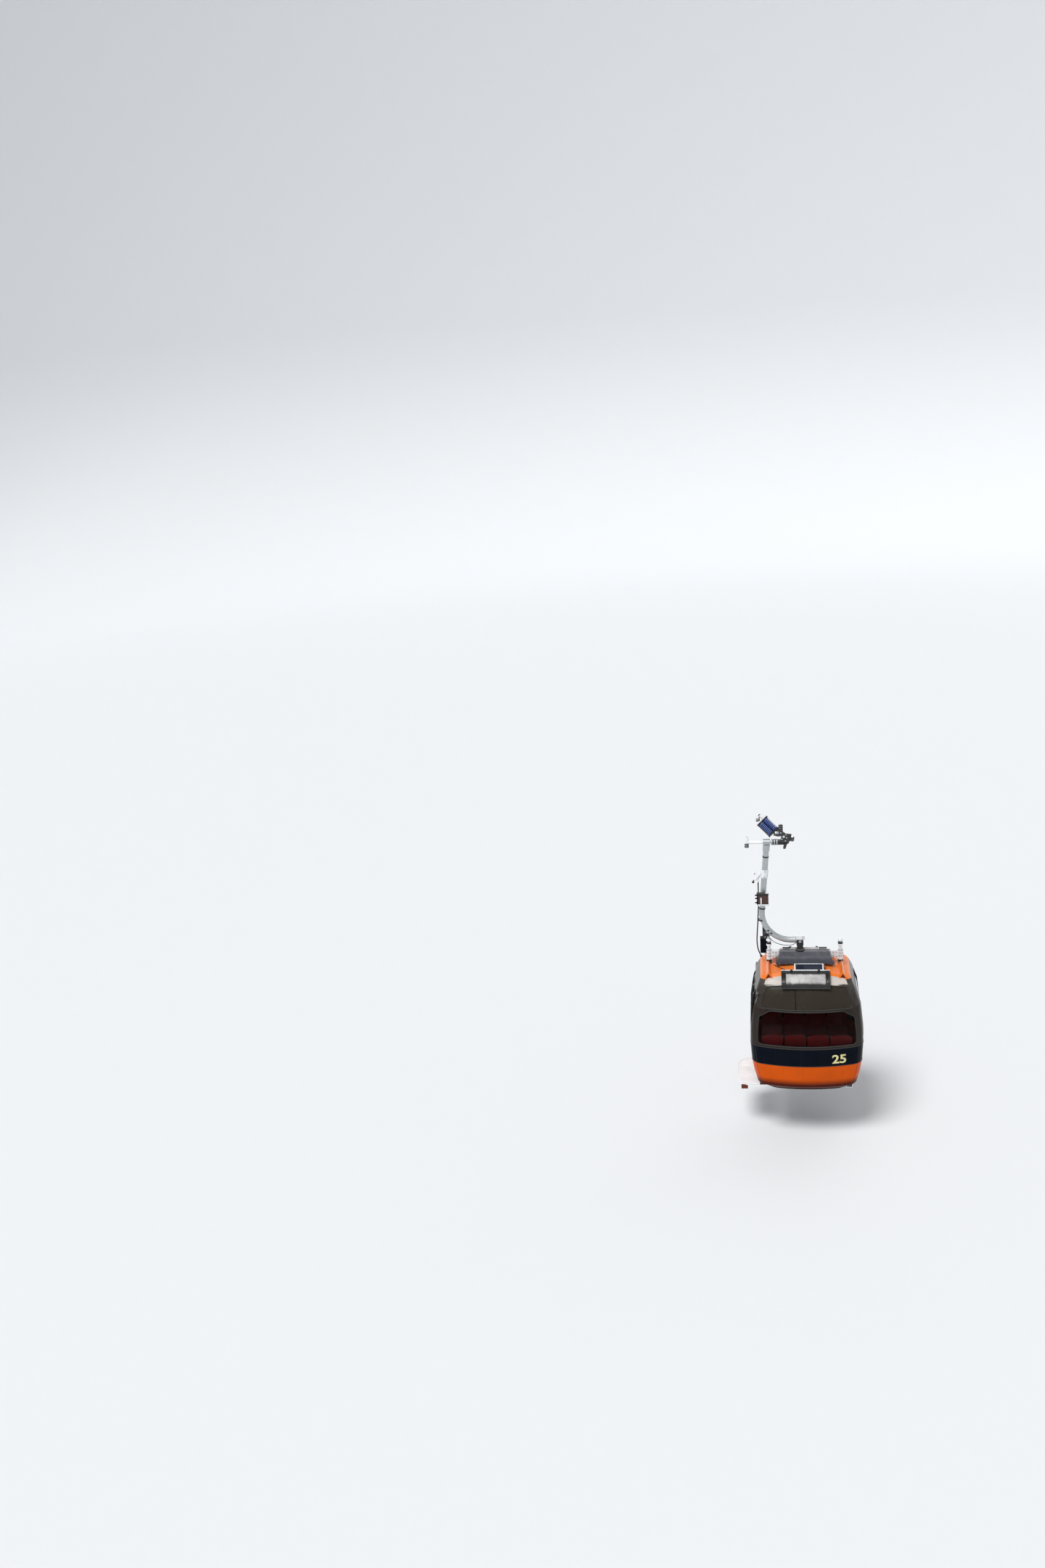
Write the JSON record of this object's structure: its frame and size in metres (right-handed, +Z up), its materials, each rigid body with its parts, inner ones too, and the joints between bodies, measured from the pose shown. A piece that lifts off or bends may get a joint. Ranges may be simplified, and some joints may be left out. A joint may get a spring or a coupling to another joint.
{
  "type": "aerial cable car cabin with hanger and detachable grip",
  "caption": "Enclosed eight-seat gondola cabin on a sprung cross beam, hung from a curved tube and a detachable rope grip, with sliding door leaves.",
  "frame": {"origin": "on the haul rope's axis, in the middle of the grip's jaws", "axes": "+Z up; +Y level along the line, downhill (the rope falls 30 degrees towards +Y); +X across the line, away from the doors and the hanger"},
  "size_m": [2.255, 2.18, 5.0558],
  "materials": {
    "galvanised": "hot-dip galvanised",
    "white_cast": "white powder coat",
    "black_cast": "black painted casting",
    "steel": "ground steel",
    "spring_blue": "blue coated spring wire",
    "rubber": "black rubber",
    "orange_shell": "orange gloss moulding",
    "black_shell": "black gloss moulding",
    "frame_black": "black frame",
    "hood_grey": "dirty grey moulding",
    "cover_grey": "dark glossy cover",
    "smoked_glass": "smoked pane",
    "dark_glass": "dark tinted pane",
    "floor_alu": "aluminium tray",
    "seat_red": "red seat",
    "cable_black": "black sheath"
  },
  "bodies": {
    "grip": {"grip_body": "black_cast", "jaw_pin": "steel", "carrying_shaft": "steel", "guide_bush": "white_cast"},
    "jaw": {"jaw_lever": "black_cast", "grip_springs": "spring_blue", "pack_frame": "white_cast"},
    "end_roller": {"end_roller": "rubber"},
    "upright_roller": {"upright_roller": "rubber"},
    "guide_roller": {"guide_roller": "rubber"},
    "front_door": {"front_door_frame": "frame_black", "front_door_glass": "dark_glass", "front_door_panel": "orange_shell"},
    "back_door": {"back_door_frame": "frame_black", "back_door_glass": "dark_glass", "back_door_panel": "orange_shell"},
    "carriage": {"arm_head": "white_cast", "beam_brackets": "white_cast", "beam_cover": "cover_grey", "bench_frames": "galvanised", "board_arms": "galvanised", "box_saddle": "white_cast", "cable_gland": "rubber", "control_box": "black_shell", "counter_box": "black_shell", "cross_beam": "galvanised", "door_cable": "cable_black", "door_rails": "steel", "door_side_belts": "black_shell", "door_side_frame": "frame_black", "door_side_panes": "dark_glass", "door_side_skirts": "orange_shell", "end_belts": "black_shell", "end_skirts": "orange_shell", "end_window_frames": "frame_black", "floor_pan": "floor_alu", "footboard": "white_cast", "guide_rail": "white_cast", "hanger_head": "galvanised", "hanger_tube": "galvanised", "hatch_frame": "white_cast", "hatch_glass": "dark_glass", "latch_lever": "white_cast", "lower_panes": "dark_glass", "pivot_column": "black_cast", "post_caps": "white_cast", "post_feet": "orange_shell", "post_rubbers": "rubber", "post_tubes": "white_cast", "roof_panel": "orange_shell", "roof_rail": "galvanised", "seats": "seat_red", "side_belt": "black_shell", "side_pane": "dark_glass", "side_skirt": "orange_shell", "side_window_frame": "frame_black", "tube_straps": "steel", "upper_panes": "smoked_glass", "vent_hoods": "hood_grey"}
  },
  "joints": [
    {"name": "hanger_pitch", "type": "hinge", "parent": "grip", "child": "carriage", "pos_m": [-0.457, -0.04, -0.06928], "axis": [1, 0, 0], "range_deg": [-75, 15]},
    {"name": "jaw_open", "type": "hinge", "parent": "grip", "child": "jaw", "pos_m": [-0.15, -0.003, -0.0052], "axis": [0, -0.866, 0.5], "range_deg": [0, 6], "stiffness_Nm_per_rad": 1500, "springref_deg": -34.38},
    {"name": "end_roller_spin", "type": "hinge", "parent": "jaw", "child": "end_roller", "pos_m": [-0.612, 0.164, 0.28406], "axis": [1, 0, 0], "continuous": true},
    {"name": "upright_roller_spin", "type": "hinge", "parent": "jaw", "child": "upright_roller", "pos_m": [-0.2, 0.16001, 0.11315], "axis": [0, 0.5, 0.866], "continuous": true},
    {"name": "guide_roller_spin", "type": "hinge", "parent": "grip", "child": "guide_roller", "pos_m": [-0.808, -0.0715, -0.12384], "axis": [0, 0.5, 0.866], "continuous": true},
    {"name": "front_door_slide", "type": "slide", "parent": "carriage", "child": "front_door", "axis": [0, -1, 0], "range_m": [0, 0.345]},
    {"name": "back_door_slide", "type": "slide", "parent": "carriage", "child": "back_door", "axis": [0, 1, 0], "range_m": [0, 0.345]}
  ],
  "couplings": [
    {"joint": "back_door_slide", "follows": "front_door_slide", "ratio": 1}
  ]
}
